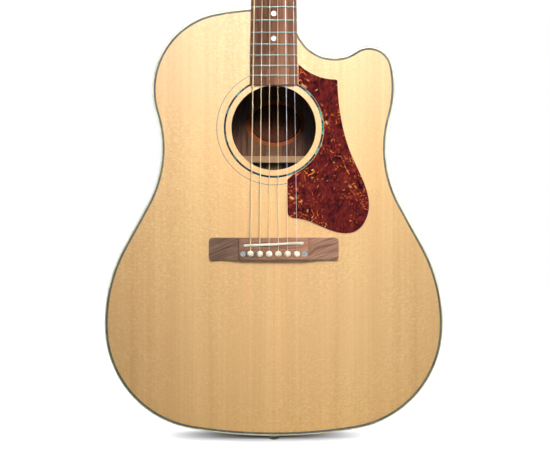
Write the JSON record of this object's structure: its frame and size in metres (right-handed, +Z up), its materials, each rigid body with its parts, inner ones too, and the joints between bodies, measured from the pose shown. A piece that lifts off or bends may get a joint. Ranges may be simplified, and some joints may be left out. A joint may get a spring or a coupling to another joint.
{
  "type": "acoustic guitar",
  "caption": "Steel-string acoustic guitar with round shoulders, a rounded cutaway, pickguard, pin bridge and geared tuners that turn their string posts.",
  "frame": {"origin": "centre of the tail strap pin's head, on the centreline, 8 mm below the tail of the body", "axes": "+Z up the neck, -Y out of the soundboard towards the player's hand, +X to the treble side; the guitar stands upright"},
  "size_m": [0.4068, 0.1346, 1.055],
  "materials": {
    "spruce_top": "satin lacquer",
    "back_wood": "gloss lacquer",
    "side_wood": "gloss lacquer",
    "binding_cream": "gloss",
    "inner_spruce": "raw",
    "inner_mahogany": "raw",
    "plate_maple": "raw",
    "label_paper": "matte paper",
    "purfling_dark": "satin",
    "purfling_pale": "satin",
    "shell": "iridescent shell",
    "tortoiseshell": "polished",
    "walnut": "gloss lacquer",
    "bone": "polished bone",
    "pin_white": "gloss",
    "pearl": "pearl",
    "nickel_silver": "polished",
    "mahogany": "satin lacquer",
    "veneer_rosewood": "gloss lacquer",
    "steel": "plain",
    "brass": "plain",
    "cover_black": "gloss",
    "nickel": "polished",
    "plain_steel": "plain wire",
    "wound_bronze": "wound"
  },
  "bodies": {
    "guitar": {"soundboard": "spruce_top", "back_plate": "back_wood", "rib_bass": "side_wood", "rib_treble": "side_wood", "end_strip": "binding_cream", "kerfed_linings": "inner_spruce", "neck_block": "inner_mahogany", "tail_block": "inner_mahogany", "x_brace": "inner_spruce", "transverse_brace": "inner_spruce", "tone_bars": "inner_spruce", "finger_braces": "inner_spruce", "bridge_plate": "plate_maple", "back_braces": "inner_spruce", "back_center_strip": "inner_mahogany", "label": "label_paper", "binding": "binding_cream", "purfling_black": "purfling_dark", "purfling_white": "purfling_pale", "rosette_pearl": "shell", "rosette_lines": "purfling_dark", "pickguard": "tortoiseshell", "bridge": "walnut", "saddle": "bone", "bridge_pins": "pin_white", "bridge_dots": "pearl", "string_1": "plain_steel", "string_2": "plain_steel", "string_3": "wound_bronze", "string_4": "wound_bronze", "string_5": "wound_bronze", "string_6": "wound_bronze", "frets": "nickel_silver", "position_dots": "pearl", "fingerboard": "walnut", "nut": "bone", "neck": "mahogany", "heel_cap": "walnut", "headstock_veneer": "veneer_rosewood", "truss_rod": "steel", "truss_rod_cover": "cover_black", "cover_screws": "nickel", "tuner_housings": "nickel", "tuner_bushings": "nickel", "tuner_screws": "nickel", "end_pin": "pin_white", "strap_button": "pin_white"},
    "truss_rod_nut": {"truss_rod_nut": "brass"},
    "tuner_knob_1": {"tuner_knob_1": "nickel"},
    "tuner_post_1": {"tuner_post_1": "nickel"},
    "tuner_knob_2": {"tuner_knob_2": "nickel"},
    "tuner_post_2": {"tuner_post_2": "nickel"},
    "tuner_knob_3": {"tuner_knob_3": "nickel"},
    "tuner_post_3": {"tuner_post_3": "nickel"},
    "tuner_knob_4": {"tuner_knob_4": "nickel"},
    "tuner_post_4": {"tuner_post_4": "nickel"},
    "tuner_knob_5": {"tuner_knob_5": "nickel"},
    "tuner_post_5": {"tuner_post_5": "nickel"},
    "tuner_knob_6": {"tuner_knob_6": "nickel"},
    "tuner_post_6": {"tuner_post_6": "nickel"}
  },
  "joints": [
    {"name": "truss_rod_adjust", "type": "hinge", "parent": "guitar", "child": "truss_rod_nut", "pos_m": [0, -0.053, 0.88495], "axis": [0, 0, 1], "range_deg": [-180, 180]},
    {"name": "knob_turn_1", "type": "hinge", "parent": "guitar", "child": "tuner_knob_1", "pos_m": [0.0215, -0.02841, 0.92135], "axis": [1, 0, 0], "continuous": true},
    {"name": "post_turn_1", "type": "hinge", "parent": "guitar", "child": "tuner_post_1", "pos_m": [0.0215, -0.03, 0.9154], "axis": [0, -0.9659, 0.2588], "continuous": true},
    {"name": "knob_turn_2", "type": "hinge", "parent": "guitar", "child": "tuner_knob_2", "pos_m": [0.0227, -0.01728, 0.96288], "axis": [1, 0, 0], "continuous": true},
    {"name": "post_turn_2", "type": "hinge", "parent": "guitar", "child": "tuner_post_2", "pos_m": [0.0227, -0.01887, 0.95693], "axis": [0, -0.9659, 0.2588], "continuous": true},
    {"name": "knob_turn_3", "type": "hinge", "parent": "guitar", "child": "tuner_knob_3", "pos_m": [0.0239, -0.00615, 1.00442], "axis": [1, 0, 0], "continuous": true},
    {"name": "post_turn_3", "type": "hinge", "parent": "guitar", "child": "tuner_post_3", "pos_m": [0.0239, -0.00774, 0.99847], "axis": [0, -0.9659, 0.2588], "continuous": true},
    {"name": "knob_turn_4", "type": "hinge", "parent": "guitar", "child": "tuner_knob_4", "pos_m": [-0.0239, -0.00615, 1.00442], "axis": [-1, 0, 0], "continuous": true},
    {"name": "post_turn_4", "type": "hinge", "parent": "guitar", "child": "tuner_post_4", "pos_m": [-0.0239, -0.00774, 0.99847], "axis": [0, -0.9659, 0.2588], "continuous": true},
    {"name": "knob_turn_5", "type": "hinge", "parent": "guitar", "child": "tuner_knob_5", "pos_m": [-0.0227, -0.01728, 0.96288], "axis": [-1, 0, 0], "continuous": true},
    {"name": "post_turn_5", "type": "hinge", "parent": "guitar", "child": "tuner_post_5", "pos_m": [-0.0227, -0.01887, 0.95693], "axis": [0, -0.9659, 0.2588], "continuous": true},
    {"name": "knob_turn_6", "type": "hinge", "parent": "guitar", "child": "tuner_knob_6", "pos_m": [-0.0215, -0.02841, 0.92135], "axis": [-1, 0, 0], "continuous": true},
    {"name": "post_turn_6", "type": "hinge", "parent": "guitar", "child": "tuner_post_6", "pos_m": [-0.0215, -0.03, 0.9154], "axis": [0, -0.9659, 0.2588], "continuous": true}
  ],
  "couplings": [
    {"joint": "post_turn_1", "follows": "knob_turn_1", "ratio": 0.071429},
    {"joint": "post_turn_2", "follows": "knob_turn_2", "ratio": 0.071429},
    {"joint": "post_turn_3", "follows": "knob_turn_3", "ratio": 0.071429},
    {"joint": "post_turn_4", "follows": "knob_turn_4", "ratio": 0.071429},
    {"joint": "post_turn_5", "follows": "knob_turn_5", "ratio": 0.071429},
    {"joint": "post_turn_6", "follows": "knob_turn_6", "ratio": 0.071429}
  ]
}
